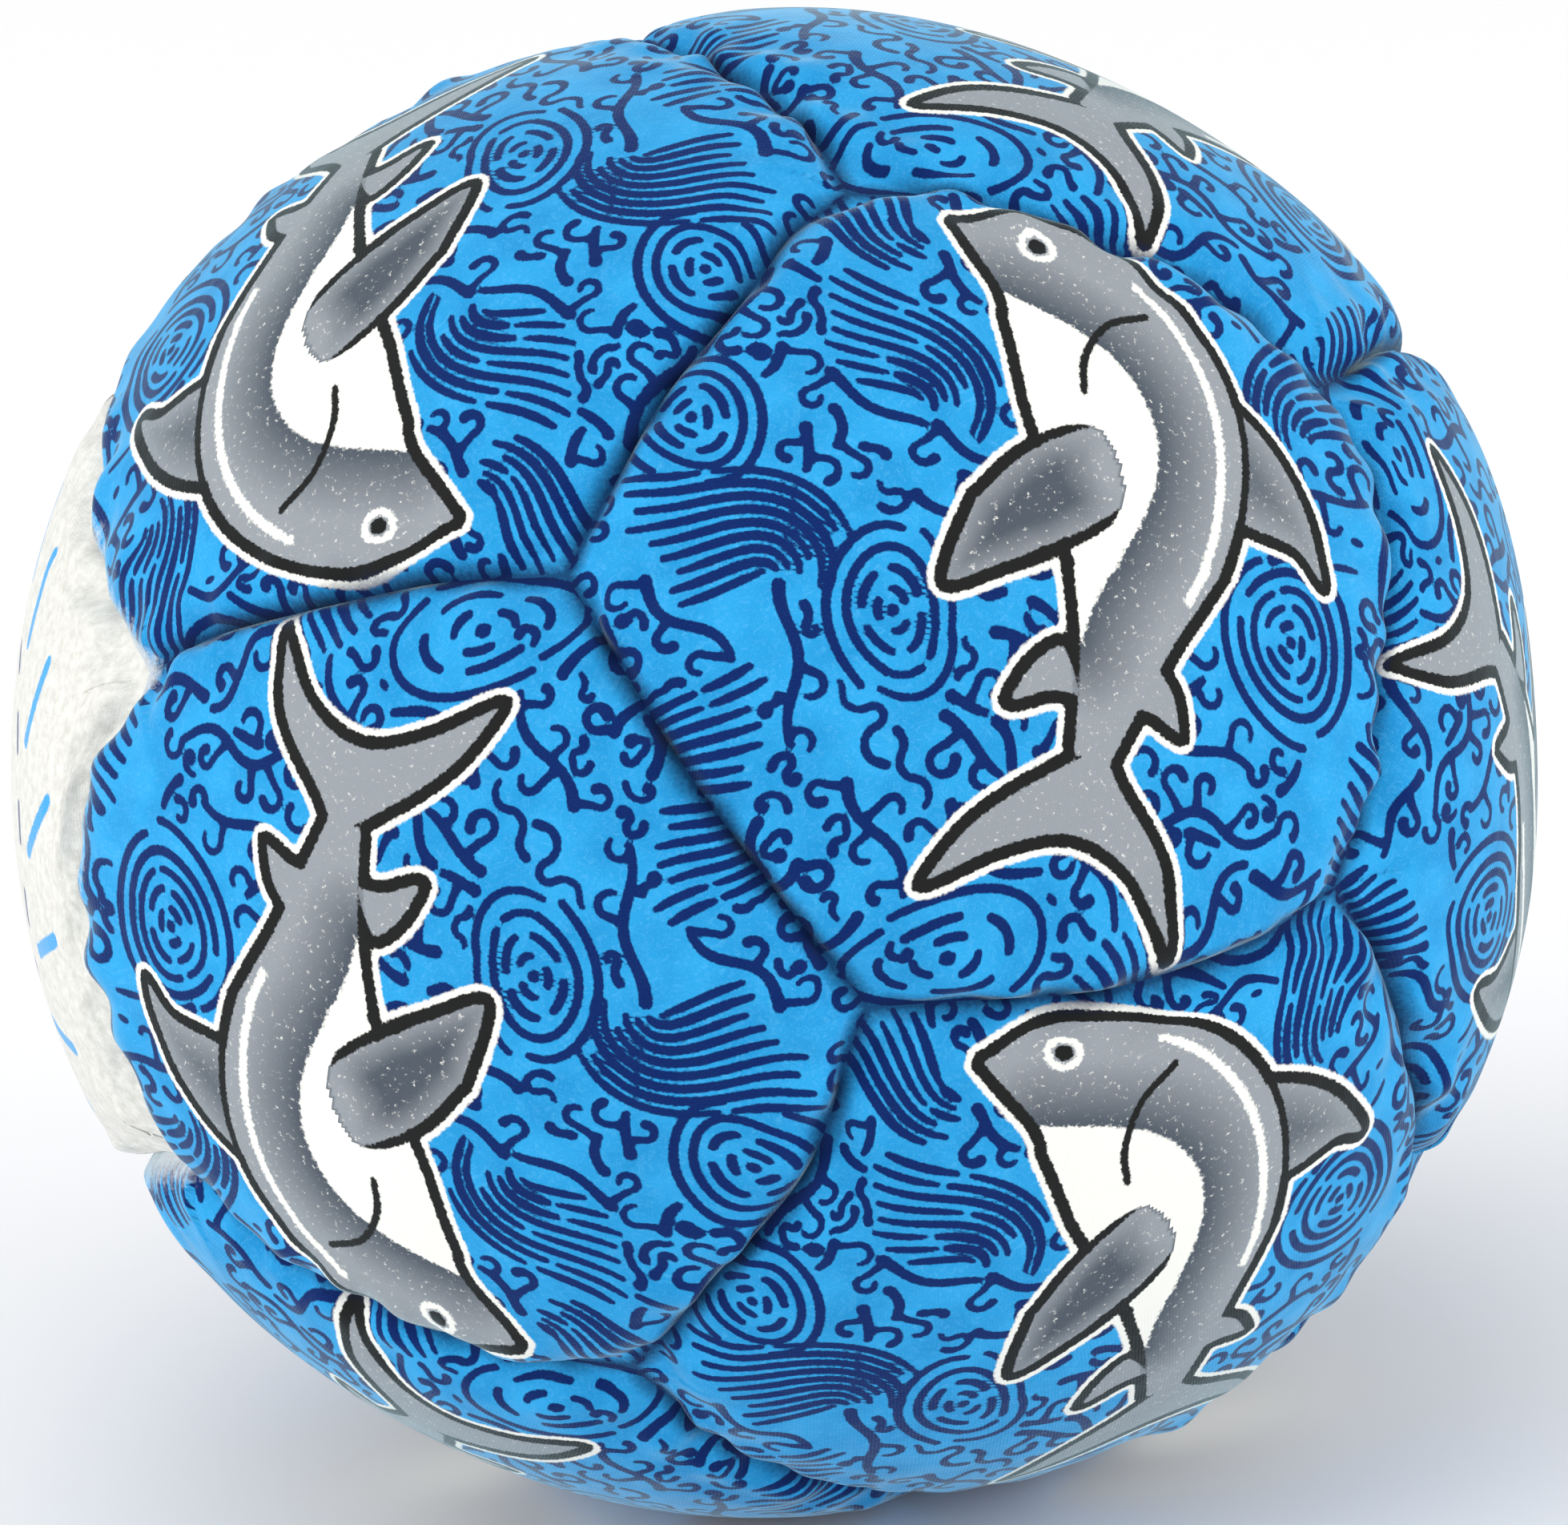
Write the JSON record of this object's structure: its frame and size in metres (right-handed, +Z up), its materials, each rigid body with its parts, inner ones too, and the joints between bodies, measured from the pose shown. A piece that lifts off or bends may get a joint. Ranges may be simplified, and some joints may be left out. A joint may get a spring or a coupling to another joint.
{
  "type": "soft juggling ball",
  "caption": "Soft round juggling ball: five-sided printed fabric panels sewn edge to edge over a sand-filled liner, flat underneath where it rests.",
  "frame": {"origin": "centre of the ball's footprint on the plane it rests on", "axes": "+Z up, with the middle of one seam straight down; -X through the middle of the white panel; +Y away from the viewer"},
  "size_m": [0.064, 0.064, 0.0619],
  "materials": {
    "printed_blue_fabric": "brushed knit with a navy wave-line print and a plain grey fish",
    "white_fabric": "brushed knit, slightly fluffy",
    "blue_thread": "twisted polyester sewing thread",
    "white_thread": "twisted polyester sewing thread",
    "liner_fabric": "thin close-woven lining",
    "sand": "fine dry sand"
  },
  "bodies": {
    "root": {"panel_end_white": "white_fabric", "panel_end_blue": "printed_blue_fabric", "panel_left_top": "printed_blue_fabric", "panel_left_front": "printed_blue_fabric", "panel_left_bottom": "printed_blue_fabric", "panel_left_back_low": "printed_blue_fabric", "panel_left_back_high": "printed_blue_fabric", "panel_right_top": "printed_blue_fabric", "panel_right_front_high": "printed_blue_fabric", "panel_right_front_low": "printed_blue_fabric", "panel_right_bottom": "printed_blue_fabric", "panel_right_back": "printed_blue_fabric", "seam_thread_01": "white_thread", "seam_thread_02": "white_thread", "seam_thread_03": "white_thread", "seam_thread_04": "white_thread", "seam_thread_05": "white_thread", "seam_thread_06": "blue_thread", "seam_thread_07": "blue_thread", "seam_thread_08": "blue_thread", "seam_thread_09": "blue_thread", "seam_thread_10": "blue_thread", "seam_thread_11": "blue_thread", "seam_thread_12": "blue_thread", "seam_thread_13": "blue_thread", "seam_thread_14": "blue_thread", "seam_thread_15": "blue_thread", "seam_thread_16": "blue_thread", "seam_thread_17": "blue_thread", "seam_thread_18": "blue_thread", "seam_thread_19": "blue_thread", "seam_thread_20": "blue_thread", "seam_thread_21": "blue_thread", "seam_thread_22": "blue_thread", "seam_thread_23": "blue_thread", "seam_thread_24": "blue_thread", "seam_thread_25": "blue_thread", "seam_thread_26": "blue_thread", "seam_thread_27": "blue_thread", "seam_thread_28": "blue_thread", "seam_thread_29": "blue_thread", "closing_thread": "blue_thread", "liner_half_left": "liner_fabric", "liner_half_right": "liner_fabric", "liner_seam_thread": "white_thread", "sand_fill": "sand"}
  },
  "joints": []
}
